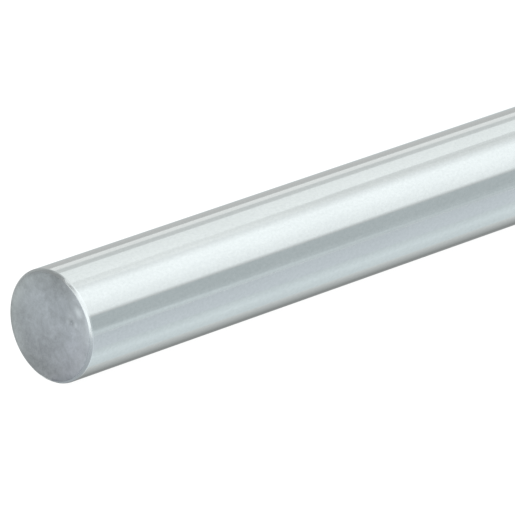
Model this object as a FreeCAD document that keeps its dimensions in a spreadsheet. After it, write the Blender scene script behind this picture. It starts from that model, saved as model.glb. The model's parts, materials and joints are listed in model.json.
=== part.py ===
"""A plain round shaft in bright stainless steel.

One piece of precision round bar: ground and polished to size along its whole
barrel, cut square to length, and given a small edge break round both ends.
It has no bore, thread, keyway or step.

Millimetres, +Z up. The shaft lies level with its axis along X, and the origin
is on that axis, midway between the two end faces.
"""

import FreeCAD
import Part
import Sketcher

import os

# The driving dimensions: name, value and meaning.
DRIVING_SIZES = [
    ("shaft_diameter", 20, "ground diameter of the barrel, mm"),
    ("shaft_length", 300, "from one end face to the other, mm"),
    ("edge_break", 0.5, "leg of the 45 degree edge break on each end, mm"),
]


def write_sizes(doc):
    """A spreadsheet with one row for each driving dimension, its value under an alias."""
    sheet = doc.addObject("Spreadsheet::Sheet", "Sizes")
    for row, (alias, value, meaning) in enumerate(DRIVING_SIZES, start=1):
        sheet.set(f"A{row}", alias)
        sheet.set(f"B{row}", str(value))
        sheet.set(f"C{row}", meaning)
        sheet.setAlias(f"B{row}", alias)
    doc.recompute()
    return sheet


def origin_plane(body, role):
    """The body's own origin plane with that role, such as YZ_Plane."""
    return next(plane for plane in body.Origin.OriginFeatures if plane.Role == role)


def add_bar_stock(body, sheet):
    """The ground bar: its round section across X, drawn out equally both ways."""
    section = body.newObject("Sketcher::SketchObject", "BarSection")
    section.AttachmentSupport = [(origin_plane(body, "YZ_Plane"), "")]
    section.MapMode = "FlatFace"
    outline = Part.Circle(FreeCAD.Vector(0, 0, 0), FreeCAD.Vector(0, 0, 1), sheet.shaft_diameter / 2)
    circle = section.addGeometry(outline)

    # A circle's centre is its point 3, and a sketch's root is point 1 of its element -1.
    circle_centre = (circle, 3)
    sketch_root = (-1, 1)
    section.addConstraint(Sketcher.Constraint("Coincident", *circle_centre, *sketch_root))
    diameter = section.addConstraint(Sketcher.Constraint("Diameter", circle, sheet.shaft_diameter))
    section.renameConstraint(diameter, "bar_diameter")
    section.setExpression("Constraints.bar_diameter", "Sizes.shaft_diameter")

    bar = body.newObject("PartDesign::Pad", "BarStock")
    bar.Profile = section
    bar.SideType = "Symmetric"
    bar.setExpression("Length", "Sizes.shaft_length")
    section.Visibility = False
    body.Document.recompute()
    return bar


def end_rims(shape):
    """The names of the circles where the barrel meets the two end faces."""
    return [
        f"Edge{number}"
        for number, edge in enumerate(shape.Edges, start=1)
        if isinstance(edge.Curve, Part.Circle)
    ]


def add_edge_breaks(body, bar):
    """The edge break, turned on both rims so that a bearing slides on without scoring."""
    breaks = body.newObject("PartDesign::Chamfer", "EdgeBreaks")
    breaks.Base = (bar, end_rims(bar.Shape))
    breaks.ChamferType = "Equal distance"
    breaks.setExpression("Size", "Sizes.edge_break")
    body.Document.recompute()
    return breaks


def build_shaft(doc, sheet):
    """The whole shaft, one solid turned from one bar."""
    shaft = doc.addObject("PartDesign::Body", "Shaft")
    shaft.Label = "shaft"
    bar = add_bar_stock(shaft, sheet)
    shaft.Tip = add_edge_breaks(shaft, bar)
    doc.recompute()
    return shaft


def check_features(doc):
    """Stops if any feature failed to build."""
    for feature in doc.Objects:
        failed = {"Invalid", "Error"}.intersection(feature.State)
        if failed:
            raise RuntimeError(f"{feature.Label} did not build: {sorted(failed)}")


def write_step(body, folder):
    """Writes a sound solid to the folder under the sub-part's name."""
    shape = body.Shape
    if shape.isNull() or not shape.isValid() or len(shape.Solids) != 1:
        raise RuntimeError(f"{body.Label} is not one valid solid")
    path = os.path.join(folder, f"{body.Label}.step")
    shape.exportStep(path)
    box = shape.BoundBox
    print(f"{path}: {box.XLength:.3f} x {box.YLength:.3f} x {box.ZLength:.3f} mm, {shape.Volume:.1f} mm3")


doc = FreeCAD.newDocument("StainlessShaft")
sizes = write_sizes(doc)
shaft = build_shaft(doc, sizes)
check_features(doc)
os.makedirs("parts", exist_ok=True)
write_step(shaft, "parts")
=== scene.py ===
"""A plain round shaft of bright stainless steel: one ground and polished bar, its ends cut matt.

Metres, +Z up. The shaft lies level with its axis along X, and the origin is midway along it.
"""

import bmesh
import bpy
import json
import math

from mathutils import Matrix, Vector


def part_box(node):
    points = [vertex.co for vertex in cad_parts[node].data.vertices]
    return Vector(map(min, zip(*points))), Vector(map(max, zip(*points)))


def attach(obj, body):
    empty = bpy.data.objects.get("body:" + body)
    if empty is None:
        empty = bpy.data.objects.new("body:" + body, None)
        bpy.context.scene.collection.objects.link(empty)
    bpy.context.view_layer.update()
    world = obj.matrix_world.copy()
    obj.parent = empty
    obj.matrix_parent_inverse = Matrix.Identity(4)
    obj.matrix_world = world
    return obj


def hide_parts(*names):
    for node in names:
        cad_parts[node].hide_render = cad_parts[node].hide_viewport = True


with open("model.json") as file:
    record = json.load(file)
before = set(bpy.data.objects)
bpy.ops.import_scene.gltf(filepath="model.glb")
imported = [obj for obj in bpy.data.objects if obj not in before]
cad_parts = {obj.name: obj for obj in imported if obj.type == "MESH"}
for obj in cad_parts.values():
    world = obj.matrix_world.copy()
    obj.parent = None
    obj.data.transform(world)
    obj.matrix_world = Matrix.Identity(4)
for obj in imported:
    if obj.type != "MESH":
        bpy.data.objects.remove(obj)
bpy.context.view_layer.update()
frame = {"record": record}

# The bar
# One length of round stainless bar, ground to size between wheels and then polished. It is sawn
# square at both ends, and a 45 degree edge break is turned on each rim and lightly deburred.

near_x, far_x = (corner.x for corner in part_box("shaft"))
barrel_mount = next(mount for mount in frame["record"]["mounts"] if mount["name"] == "barrel")
bar_radius = barrel_mount["dims"]["r_mm"] / 1000
bar_length = far_x - near_x
edge_break = (bar_length - barrel_mount["dims"]["length_mm"] / 1000) / 2
bar_sides = 256
deburred_radius = 0.00015

bpy.ops.object.select_all(action="DESELECT")
bpy.ops.mesh.primitive_cylinder_add(
    vertices=bar_sides,
    radius=bar_radius,
    depth=bar_length,
    location=((near_x + far_x) / 2, 0, 0),
    rotation=(0, math.pi / 2, 0),
)
bar = bpy.context.object
bar.name = bar.data.name = "ground_bar"
bpy.ops.object.transform_apply(location=True, rotation=True, scale=True)

# First the square corner of each rim is cut back, and then the two blunt corners that it leaves.
bpy.ops.object.mode_set(mode="EDIT")
bpy.ops.mesh.select_mode(type="EDGE")
for least_corner, width, segments in ((60, edge_break, 1), (30, deburred_radius, 3)):
    bpy.ops.mesh.select_all(action="DESELECT")
    bpy.ops.mesh.edges_select_sharp(sharpness=math.radians(least_corner))
    bpy.ops.mesh.bevel(offset_type="OFFSET", offset=width, segments=segments, affect="EDGES")


# The cut faces
# Each end is a flat face left matt by the saw and the facing tool. It is netted with small square
# faces here, so that the near one can carry the pit that it has picked up.

rim_band = 0.0004


def pick(kind, wanted):
    """Selects only the bar's "faces", "edges" or "verts" that wanted() holds for, in edit mode."""
    bpy.ops.mesh.select_all(action="DESELECT")
    mesh = bmesh.from_edit_mesh(bar.data)
    for element in getattr(mesh, kind):
        if wanted(element):
            element.select_set(True)
    bmesh.update_edit_mesh(bar.data)


def net_cut_face(end_x):
    """Fills the flat of one end with a net of small faces, inside a plain band along its rim."""
    def is_flat(face):
        return abs(face.calc_center_median().x - end_x) < 1e-6 and abs(face.normal.x) > 0.999

    def is_open(edge):
        return edge.is_boundary and abs(edge.verts[0].co.x - end_x) < 1e-6

    bpy.ops.mesh.select_mode(type="FACE")
    pick("faces", is_flat)
    bpy.ops.mesh.inset(thickness=rim_band)
    bpy.ops.mesh.delete(type="ONLY_FACE")
    bpy.ops.mesh.select_mode(type="EDGE")
    pick("edges", is_open)
    bpy.ops.mesh.fill_grid(span=bar_sides // 4)


net_cut_face(near_x)
net_cut_face(far_x)

# The pit
# A small sharp-sided hole in the near face, about half way from its middle to its rim, where
# a grain of the steel tore out as the end was cut. The metal round it is pushed up a little.

pit_centre = Vector((near_x, -0.541 * bar_radius, 0.209 * bar_radius))
fine_net_reach = 0.0011
finer_net_reach = 0.0006
pit_lip = (0.00090, -0.00002)
pit_hollow = (0.00045, 0.00014)
pit_tail = (0.00030, 0.00008)
pit_tail_offset = Vector((0, -0.00010, -0.00022))
smoothing_angle = math.radians(28)


def push_face(place, reach, depth):
    """Pushes the near face in there, by depth at its deepest and by nothing beyond the reach.

    A negative depth pushes it out.
    """
    mesh = bmesh.from_edit_mesh(bar.data)
    nearest = min(mesh.verts, key=lambda vert: (vert.co - place).length)
    centre = nearest.co.copy()
    pick("verts", lambda vert: (vert.co - centre).length < 1e-7)
    bpy.ops.transform.translate(
        value=(depth, 0, 0),
        use_proportional_edit=True,
        proportional_edit_falloff="SMOOTH",
        proportional_size=reach,
    )


bpy.ops.mesh.select_mode(type="FACE")
for reach in (fine_net_reach, finer_net_reach):
    pick("faces", lambda face: (face.calc_center_median() - pit_centre).length < reach)
    bpy.ops.mesh.subdivide(number_cuts=2)
bpy.ops.mesh.select_mode(type="VERT")
push_face(pit_centre, *pit_lip)
push_face(pit_centre, *pit_hollow)
push_face(pit_centre + pit_tail_offset, *pit_tail)

bpy.ops.mesh.select_all(action="SELECT")
bpy.ops.mesh.normals_make_consistent(inside=False)
bpy.ops.object.mode_set(mode="OBJECT")
bpy.ops.object.shade_smooth_by_angle(angle=smoothing_angle)

# The barrel's finish
# Bright polished stainless. The grinding wheel's lines run round the bar and are too fine to see
# one by one; the polish leaves faint clouds and specks in how brightly and sharply it mirrors.

polished_dark = (0.595, 0.617, 0.623, 1)
polished_light = (0.735, 0.753, 0.757, 1)
polish_roughness = 0.09
polish_unevenness = 0.04
polish_clouds = (60, 260, 260)
polish_specks = (1500, 2200, 2200)
cloud_share = 0.35
speck_share = 0.65
wheel_lines = (9000, 90, 90)
wheel_line_depth = 0.0000004


class Wire:
    """One value in a finish's nodes. Arithmetic on it adds Math nodes; node() adds any other."""

    def __init__(self, socket):
        self.socket = socket

    def node(self, kind, output=0, settings=None, sockets=None):
        """Adds a node, its settings first and then its sockets, and returns one of its outputs."""
        node = self.socket.id_data.nodes.new(kind)
        for name, setting in (settings or {}).items():
            setattr(node, name, setting)
        wire_up(node, sockets or {})
        return Wire(node.outputs[output])

    def maths(self, operation, *values):
        return self.node("ShaderNodeMath", 0, {"operation": operation}, dict(enumerate(values)))

    def __add__(self, other):
        return self.maths("ADD", self, other)

    def __sub__(self, other):
        return self.maths("SUBTRACT", self, other)

    def __rsub__(self, other):
        return self.maths("SUBTRACT", other, self)

    def __mul__(self, other):
        return self.maths("MULTIPLY", self, other)

    __radd__ = __add__
    __rmul__ = __mul__


def wire_up(node, sockets):
    """Gives a node's sockets their values, or links them to the wires that carry them."""
    for name, value in sockets.items():
        if isinstance(value, Wire):
            node.id_data.links.new(value.socket, node.inputs[name])
        else:
            node.inputs[name].default_value = value


def start_finish(name):
    """A new material: its metal shader, and a wire with the place on the bar in metres."""
    finish = bpy.data.materials.new(name)
    finish.use_nodes = True
    nodes = finish.node_tree.nodes
    return finish, nodes["Principled BSDF"], Wire(nodes.new("ShaderNodeTexCoord").outputs["Object"])


def axis_of(place, axis):
    """How far along "X", "Y" or "Z" the place is."""
    return place.node("ShaderNodeSeparateXYZ", axis, None, {0: place})


def grain(place, per_metre, detail=2.0):
    """Noise about 0.5 with that many grains to the metre along X, Y and Z."""
    stretched = place.node("ShaderNodeMapping", 0, None, {"Vector": place, "Scale": per_metre})
    sockets = {"Vector": stretched, "Scale": 1.0, "Detail": detail}
    return place.node("ShaderNodeTexNoise", "Fac", None, sockets)


def between(mask, first, second):
    """A colour that goes from the first to the second as the mask goes from 0 to 1."""
    # A Mix node's colours are its inputs 6 and 7 and its output 2.
    return mask.node("ShaderNodeMix", 2, {"data_type": "RGBA"}, {0: mask, 6: first, 7: second})


def relief(height, depth):
    """The normal of a surface that rises by depth metres as its height goes from 0 to 1."""
    sockets = {"Height": height, "Strength": 1.0, "Distance": depth}
    return height.node("ShaderNodeBump", 0, None, sockets)


def polished_steel():
    finish, shader, place = start_finish("polished_steel")
    lines = grain(place, wheel_lines)
    clouds = grain(place, polish_clouds, 3.0)
    specks = grain(place, polish_specks, 1.0)
    cloudiness = clouds * cloud_share + specks * speck_share
    wire_up(shader, {
        "Base Color": between(cloudiness, polished_dark, polished_light),
        "Metallic": 1.0,
        "Roughness": polish_roughness + (clouds - 0.5) * polish_unevenness,
        "Normal": relief(lines, wheel_line_depth),
    })
    return finish


# The cut faces' finish
# Bare matt steel, grey and unevenly mottled by the cut. On the near face it is greener to the left
# and bluer to the right, and rubbed bright above the pit. Its dull patches by the rim are partly
# painted shade; painted shade also darkens the pit and the left of each rim, and painted
# highlights lighten the pit's lips and the right of each rim.

cut_green = (0.560, 0.588, 0.588, 1)
cut_blue = (0.572, 0.598, 0.640, 1)
cut_mauve = (0.600, 0.600, 0.650, 1)
cut_heart = (0.546, 0.578, 0.642, 1)
cut_shade = (0.240, 0.250, 0.258, 1)
cut_bright = (0.800, 0.830, 0.860, 1)
cut_roughness = 0.52
cut_unevenness = 0.2

# Parts of a cut face: how far across and up their middles are, how far out they are full, and where
# they end, all in bar radii.
mauve_part = (-0.30, -0.75, 0, 1.3)
heart_part = (0.05, 0, 0.48, 1.02)
heart_strength = 0.55
inside_rim_part = (0, 0, 0.87, 0.97)

# The cut's mottling: how many grains of each kind there are to the metre, and how much more of
# the shade they bring.
cut_blotches = (10, 380, 380)
cut_flecks = (10, 1300, 1300)
cut_grains = (10, 4200, 4200)
common_blotch = 0.45
blotch_dullness = 0.4
fleck_dullness = 0.5
grain_dullness = 0.35
grain_depth = 0.00002
cut_dullness = 0.30
# Painted shade darkens the left of each face's rim, and a painted highlight lightens its right.
left_rim_shade = 0.20
right_rim_highlight = 0.9
rim_highlight_start = 0.6

# Spots on the near face: how far across and up their middles are and how far they reach, all in bar
# radii, and how strong they are. They are partly the cut's own dull patches and partly painted
# shade, such as the last one, in the pit; a spot of a negative strength is painted lighter.
dull_and_shaded_spots = (
    (-0.02, 1.00, 0.30, -0.04),
    (-0.26, 0.90, 0.30, 0.28),
    (-0.42, 0.72, 0.26, 0.16),
    (0.05, 0.74, 0.45, 0.22),
    (-0.35, -0.16, 0.36, 0.14),
    (0.18, -0.18, 0.36, 0.14),
    (0.42, -0.52, 0.55, 0.32),
    (0.25, -0.90, 0.60, 0.28),
    (-0.18, -0.85, 0.60, 0.22),
    (-0.13, -0.98, 0.20, -0.36),
    (-0.10, -0.40, 0.50, 0.22),
    (0.70, -0.05, 0.55, 0.20),
    (0.58, 0.80, 0.40, -0.10),
    (0.90, 0.40, 0.40, -0.14),
    (0.42, 0.14, 0.36, 0.09),
    (-0.30, 0.46, 0.38, 0.10),
    (-0.10, 0.12, 0.50, 0.10),
    (-0.75, -0.15, 0.50, -0.15),
    (-0.541, 0.209, 0.12, 0.36),
)
# Rubbed spots on the near face, in the same columns: a rub above the pit, and painted highlights on
# the pit's lips and along the right and lower rim.
rubbed_and_lit_spots = (
    (-0.66, 0.47, 0.11, 0.30),
    (-0.72, 0.41, 0.13, 0.55),
    (-0.445, 0.21, 0.08, 0.18),
    (-0.640, 0.19, 0.08, 0.28),
    (-0.50, 0.34, 0.14, 0.20),
    (-0.541, 0.209, 0.20, 0.10),
    (-0.94, 0.22, 0.24, 0.20),
    (-0.92, 0.02, 0.24, 0.14),
    (-0.80, -0.48, 0.26, 0.16),
    (-0.62, -0.72, 0.24, 0.16),
    (-0.34, -0.90, 0.26, 0.14),
)


def fading(place, across, height, start, reach):
    """1 out to start from that place on an end, falling smoothly to 0 at reach, in bar radii."""
    centre = (0, across * bar_radius, height * bar_radius)
    flattening = {0: place, 1: (0, 1, 1)}
    flat = place.node("ShaderNodeVectorMath", 0, {"operation": "MULTIPLY"}, flattening)
    ends = {0: flat, 1: centre}
    away = place.node("ShaderNodeVectorMath", "Value", {"operation": "DISTANCE"}, ends)
    fall = {
        "Value": away,
        "From Min": start * bar_radius,
        "From Max": reach * bar_radius,
        "To Min": 1.0,
        "To Max": 0.0,
    }
    return place.node("ShaderNodeMapRange", 0, {"interpolation_type": "SMOOTHSTEP"}, fall)


def add_spots(place, spots):
    """All those spots added together."""
    return sum(
        fading(place, across, height, 0, reach) * strength
        for across, height, reach, strength in spots
    )


def near_half(place):
    """1 on the near half of the bar and 0 on the far half."""
    along = axis_of(place, "X")
    return along.maths("LESS_THAN", along, 0.0)


def cut_steel():
    finish, shader, place = start_finish("cut_steel")
    near_face = near_half(place)
    to_the_right = 0.5 - axis_of(place, "Y") * (0.5 / bar_radius)
    bare = between(to_the_right, cut_green, cut_blue)
    bare = between(fading(place, *mauve_part), bare, cut_mauve)
    bare = between(fading(place, *heart_part) * heart_strength, bare, cut_heart)
    blotches = grain(place, cut_blotches, 3.0)
    flecks = grain(place, cut_flecks, 3.0)
    grains = grain(place, cut_grains, 2.0)
    rim = 1 - fading(place, *inside_rim_part)
    dullness_and_shade = cut_dullness + (blotches - common_blotch) * blotch_dullness
    dullness_and_shade = dullness_and_shade + (flecks - 0.5) * fleck_dullness + (grains - 0.5) * grain_dullness
    # Painted shade: the left of each face's rim is darker.
    dullness_and_shade = dullness_and_shade + rim * (left_rim_shade - to_the_right * left_rim_shade)
    # The near face's spots: the cut's own dull patches, and painted shade in the pit and by the
    # rim.
    dullness_and_shade = dullness_and_shade + near_face * add_spots(place, dull_and_shaded_spots)
    mottled = between(dullness_and_shade, bare, cut_shade)
    # A painted highlight lightens the right of each face's rim.
    rubbed_and_lit = rim * (to_the_right - rim_highlight_start) * right_rim_highlight
    # Painted highlights on the pit's lips and along the right rim, and the rub above the pit.
    rubbed_and_lit = rubbed_and_lit + near_face * add_spots(place, rubbed_and_lit_spots)
    wire_up(shader, {
        "Base Color": between(rubbed_and_lit, mottled, cut_bright),
        "Metallic": 1.0,
        "Roughness": cut_roughness + (blotches - 0.5) * cut_unevenness,
        "Normal": relief(grains, grain_depth),
    })
    return finish


# The edge breaks' finish
# Turned metal, brighter than the faces: the tool leaves fine rings that run round with the rim. On
# the near one a painted reflection of dark surroundings darkens the top and the back.

turned_bright = (0.72, 0.74, 0.75, 1)
turned_painted_dark = (0.47, 0.485, 0.495, 1)
painted_dark_part = (0.75, 0.75, 0.9, 1.35)
turned_roughness = 0.2
turned_unevenness = 0.1
turned_rings = (30000, 200, 200)
ring_depth = 0.0000006


def turned_steel():
    finish, shader, place = start_finish("turned_steel")
    rings = grain(place, turned_rings)
    # Painted reflection: the near break is darker at the top and behind.
    painted_dark_reflection = near_half(place) * fading(place, *painted_dark_part)
    wire_up(shader, {
        "Base Color": between(painted_dark_reflection, turned_bright, turned_painted_dark),
        "Metallic": 1.0,
        "Roughness": turned_roughness + (rings - 0.5) * turned_unevenness,
        "Normal": relief(rings, ring_depth),
    })
    return finish


POLISHED, CUT, TURNED = range(3)
for finish in (polished_steel(), cut_steel(), turned_steel()):
    bar.data.materials.append(finish)
for face in bar.data.polygons:
    beyond_barrel = abs(face.center.x) > bar_length / 2 - edge_break - deburred_radius
    inside_rim = math.hypot(face.center.y, face.center.z) < bar_radius - edge_break
    if not beyond_barrel:
        face.material_index = POLISHED
    elif inside_rim:
        face.material_index = CUT
    else:
        face.material_index = TURNED

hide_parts("shaft")
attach(bar, "root")

# The floor
# A plain white light table that the shaft lies on, so that hardly any shadow shows.

floor_height = -bar_radius - 0.00002
floor_size = 60
floor_grey = (0.12, 0.12, 0.12, 1)
floor_glow = 0.96
plain_white = (1, 1, 1, 1)

bpy.ops.mesh.primitive_plane_add(size=floor_size, location=(0, 0, floor_height))
floor = bpy.context.object
floor.name = "floor"

floor_paint, shader, _ = start_finish("floor_paint")
wire_up(shader, {
    "Base Color": floor_grey,
    "Roughness": 0.9,
    "Specular IOR Level": 0.0,
    "Emission Color": plain_white,
    "Emission Strength": floor_glow,
})
floor.data.materials.append(floor_paint)

# The light
# An even white sky lights everything. Long cards of soft light stand beside the shaft, which
# mirrors each one as a band along its barrel. They show only in reflections.

sky_strength = 1.2

sky = bpy.data.worlds.new("sky")
bpy.context.scene.world = sky
sky.use_nodes = True
wire_up(sky.node_tree.nodes["Background"], {"Color": plain_white, "Strength": sky_strength})

tent_radius = 0.5
tent_half_length = 2.5
card_lift = 0.0002


def on_tent(angle, radius=tent_radius):
    """A point of the tent round the shaft, in Y and Z, that many degrees up from its front."""
    return -radius * math.cos(math.radians(angle)), radius * math.sin(math.radians(angle))


def on_floor(reach, lift=card_lift):
    """A point just over the floor, in Y and Z, that many bar radii in front of the shaft's axis."""
    return -reach * bar_radius, floor_height + lift


def hang_card(name, corner, along, across, glows, tint, fade=(1, 1)):
    """A card that shows only in reflections, with its two sides along those vectors from a corner.

    Its light goes evenly across it from the first glow to the second, and is dimmed along it from
    the first part of the fade to the second.
    """
    along, across = Vector(along), Vector(across)
    middle = Vector(corner) + (along + across) / 2
    bpy.ops.mesh.primitive_plane_add(size=1)
    card = bpy.context.object
    card.name = name
    sides = Matrix((along, across, along.cross(across).normalized())).transposed()
    card.matrix_world = Matrix.Translation(middle) @ sides.to_4x4()
    card.visible_camera = card.visible_diffuse = card.visible_shadow = False
    light = bpy.data.materials.new(name)
    light.use_nodes = True
    nodes = light.node_tree.nodes
    nodes.remove(nodes["Principled BSDF"])
    place = Wire(nodes.new("ShaderNodeTexCoord").outputs["Object"])
    x, y = axis_of(place, "X"), axis_of(place, "Y")
    glow_across = y * (glows[1] - glows[0]) + sum(glows) / 2
    strength = glow_across * (x * (fade[1] - fade[0]) + sum(fade) / 2)
    scaling = {0: tint, "Scale": strength}
    colour = strength.node("ShaderNodeVectorMath", 0, {"operation": "SCALE"}, scaling)
    glow = colour.node("ShaderNodeEmission", 0, None, {"Color": colour})
    wire_up(nodes["Material Output"], {"Surface": glow})
    card.data.materials.append(light)


def hang_long_card(name, first, second, glows, tint, span=None, fade=(1, 1)):
    """A card between two edges given in Y and Z, along that span of X or else the whole tent."""
    start, end = span or (-tent_half_length, tent_half_length)
    across = (0, second[0] - first[0], second[1] - first[1])
    hang_card(name, (start, *first), (end - start, 0, 0), across, glows, tint, fade)


# The long cards: their two edges, the glow at each, and their tint. The first go over the shaft
# from behind it to the front, and the rest lie on the floor, in front of it and then behind. The
# dim and dark sheets nearest under the shaft, on each side, are a painted shadow of the floor it
# shades.
grey_green = (0.98, 1.0, 0.985)
green_white = (0.96, 1.0, 0.99)
cool_white = (0.955, 1.0, 1.0)
slate = (0.91, 1.0, 1.02)
blue_grey = (0.925, 1.0, 1.05)
for card in (
    ("rear_wall", on_tent(182), on_tent(152.4), (0.63, 0.64), grey_green),
    ("rear_strip", on_tent(152.4), on_tent(138.6), (1.04, 1.02), grey_green),
    ("rear_gap", on_tent(138.6), on_tent(125.8), (0.78, 0.81), green_white),
    ("rear_softbox", on_tent(125.8), on_tent(93), (1.12, 1.20), green_white),
    ("front_softbox_edge", on_tent(80.5), on_tent(68), (1.06, 1.35), cool_white),
    ("front_softbox_high", on_tent(68), on_tent(50), (1.36, 1.34), cool_white),
    ("front_softbox_low", on_tent(50), on_tent(24.6), (1.33, 1.15), cool_white),
    ("front_softbox_foot", on_tent(24.6), on_tent(19), (1.13, 0.64), cool_white),
    ("front_wall", on_tent(19), on_tent(-3), (0.63, 0.63), slate),
    ("far_sheet", on_floor(50), on_floor(8), (0.62, 0.68), slate),
    ("front_sheet", on_floor(4.6), on_floor(1.8), (0.735, 0.80), blue_grey),
    ("near_sheet", on_floor(1.8), on_floor(1.3), (0.80, 0.95), slate),
    ("near_dim", on_floor(1.3), on_floor(0.9), (0.96, 0.83), slate),
    ("under_dim", on_floor(0.9), on_floor(0.55), (0.81, 0.33), green_white),
    ("under_dark", on_floor(0.55), on_floor(0.25), (0.30, 0.42), green_white),
    ("rear_far_sheet", on_floor(-9), on_floor(-50), (0.67, 0.60), slate),
    ("rear_light_strip", on_floor(-5), on_floor(-9), (0.95, 0.90), cool_white),
    ("rear_sheet", on_floor(-1.8), on_floor(-5), (0.78, 0.70), blue_grey),
    ("rear_near_sheet", on_floor(-0.9), on_floor(-1.8), (0.86, 0.92), slate),
    ("rear_under_dim", on_floor(-0.55), on_floor(-0.9), (0.33, 0.81), green_white),
    ("rear_under_dark", on_floor(-0.25), on_floor(-0.55), (0.42, 0.30), green_white),
):
    hang_long_card(*card)

# Where each end of the bar rests, a dark patch joins the two dark sheets under it, as more of that
# painted shadow.
contact_overhang = 0.003
contact_length = 0.02
for name, span in (
    ("near_contact", (near_x - contact_overhang, near_x + contact_length)),
    ("far_contact", (far_x - contact_length, far_x + contact_overhang)),
):
    hang_long_card(name, on_floor(0.25), on_floor(-0.25), (0.35, 0.35), green_white, span)

# A wall closes the tent at each end, brighter towards its top.
wall_glows = (0.62, 0.80)
for name, end in (("near_end_wall", -tent_half_length), ("far_end_wall", tent_half_length)):
    corner = (end, -tent_radius, floor_height)
    hang_card(name, corner, (0, 2 * tent_radius, 0), (0, 0, tent_radius), wall_glows, slate)

# Straight above the shaft is the gap between the softboxes, which dims on its way to the far end.
gap_dims_from = 0.25
gap_dims_to = 0.32
for name, span, dark_fade, light_fade in (
    ("overhead_gap_near", (-tent_half_length, gap_dims_from), (1.13, 1.13), (1.13, 1.13)),
    ("overhead_gap", (gap_dims_from, gap_dims_to), (1.13, 0.95), (1.13, 1.0)),
    ("overhead_gap_far", (gap_dims_to, tent_half_length), (0.95, 0.95), (1.0, 1.0)),
):
    dark_edges = on_tent(93), on_tent(87)
    light_edges = on_tent(87), on_tent(80.5)
    hang_long_card(name + "_dark", *dark_edges, (0.955, 0.955), green_white, span, dark_fade)
    hang_long_card(name + "_light", *light_edges, (0.97, 1.03), green_white, span, light_fade)

# In front of the shaft a strip of light lies on the floor, narrower and dimmer to the far end.
strip_dims_from = -0.08
strip_dims_to = -0.02
strip_middle_reach = 6.4
strip_inner_reach = 4.6
for name, span, fade, strip_outer_reach in (
    ("light_strip_near", (-tent_half_length, strip_dims_from), (1.05, 1.05), 12),
    ("light_strip", (strip_dims_from, strip_dims_to), (1.03, 0.95), 10),
    ("light_strip_far", (strip_dims_to, tent_half_length), (0.94, 0.94), 8),
):
    outer, middle, inner = (
        on_floor(reach, 2 * card_lift)
        for reach in (strip_outer_reach, strip_middle_reach, strip_inner_reach)
    )
    hang_long_card(name + "_outer", outer, middle, (0.66, 0.83), slate, span, fade)
    hang_long_card(name + "_inner", middle, inner, (0.82, 0.74), slate, span, fade)

# A slanting wing hangs just inside the tent, so that the gap widens backwards as it goes on.
wing_start = 0.31
wing_slant = 0.11
wing_scale = 0.99
wing_corner, wing_far_corner, wing_side = (
    Vector((0, *on_tent(angle))) * wing_scale for angle in (93, 100, 87)
)
hang_card(
    "overhead_gap_wing",
    wing_corner + Vector((wing_start, 0, 0)),
    wing_far_corner - wing_corner + Vector((wing_slant, 0, 0)),
    wing_side - wing_corner,
    (0.94, 0.94),
    green_white,
)

# Small cards off the near end are there for its edge break to mirror. Three bright ones face it,
# stacked on a slant that goes back as it rises: where on the slant each starts and ends, its
# width and its light.
slant_gap = 0.105
slant_foot = -0.078
slant_run = 0.105
slant_rise = 0.145
for name, low, high, width, glows, fade in (
    ("end_softbox_low", 0, 0.36, 0.08, (1.28, 1.34), (1, 1)),
    ("end_softbox_middle", 0.36, 0.65, 0.08, (1.34, 1.15), (1, 1)),
    ("end_softbox_top", 0.65, 1.07, 0.06, (1.08, 0.24), (0.8, 1.45)),
):
    foot = (near_x - slant_gap, slant_foot + slant_run * low, floor_height + slant_rise * low)
    up = (0, slant_run * (high - low), slant_rise * (high - low))
    hang_card(name, foot, (0, -width, 0), up, glows, cool_white, fade)

# More lie on the floor off that end: how far off each starts, where across, its length and width.
for name, gap, across, length, width, glows, tint in (
    ("end_floor_light", 0.105, -0.13, 0.088, 0.07, (1.34, 1.34), cool_white),
    ("end_floor_light_edge", 0.105, -0.06, 0.088, 0.024, (1.34, 0.74), cool_white),
    ("end_floor_shade_outer", 0.035, -0.036, 0.0355, 0.026, (0.74, 0.50), blue_grey),
    ("end_floor_shade_inner", 0.035, -0.010, 0.0355, 0.010, (0.48, 0.45), blue_grey),
    ("end_back_sheet", 0.08, 0, 0.0805, 0.08, (0.90, 0.90), green_white),
):
    corner = (near_x - gap, across, floor_height + 2 * card_lift)
    hang_card(name, corner, (length, 0, 0), (0, width, 0), glows, tint)

# The last are dull, and stand close behind and over the rim itself.
end_shade_radius = 0.016
end_shade_span = (near_x - 0.012, near_x)
rim_shade_radius = 0.014
rim_shade_span = (near_x - 0.001, near_x + 0.002)
for name, radius, low_angle, high_angle, glows, span in (
    ("end_shade", end_shade_radius, 184, 84, (0.76, 0.50), end_shade_span),
    ("rim_shade", rim_shade_radius, 202, 138, (0.78, 0.66), rim_shade_span),
    ("rim_shade_top", rim_shade_radius, 138, 84, (0.68, 0.80), rim_shade_span),
):
    low_edge, high_edge = on_tent(low_angle, radius), on_tent(high_angle, radius)
    hang_long_card(name, low_edge, high_edge, glows, green_white, span)

# The camera
# It looks at the near end from the left and a little above, from far off with a long lens. The
# middle of the near face falls on near_end_pixel.

view_azimuth, view_elevation = math.radians(-45.6), math.radians(19.86)
picture_size = 515
sensor_width = 36
lens_pixels = 7100
near_end_pixel = (49.5, 326.8)
camera_distance = 119.1 * bar_radius
farthest_seen = 200

bpy.ops.object.camera_add(rotation=(math.pi / 2 - view_elevation, 0, view_azimuth))
camera = bpy.context.object
camera.data.sensor_width = sensor_width
camera.data.lens = lens_pixels / picture_size * sensor_width
right_of_middle = (near_end_pixel[0] - picture_size / 2) / lens_pixels
above_middle = (picture_size / 2 - near_end_pixel[1]) / lens_pixels
to_near_end = Vector((right_of_middle, above_middle, -1)) * camera_distance
camera.location = Vector((near_x, 0, 0)) - camera.rotation_euler.to_matrix() @ to_near_end
camera.data.clip_end = farthest_seen
bpy.context.scene.camera = camera
bpy.context.scene.view_settings.view_transform = "Standard"
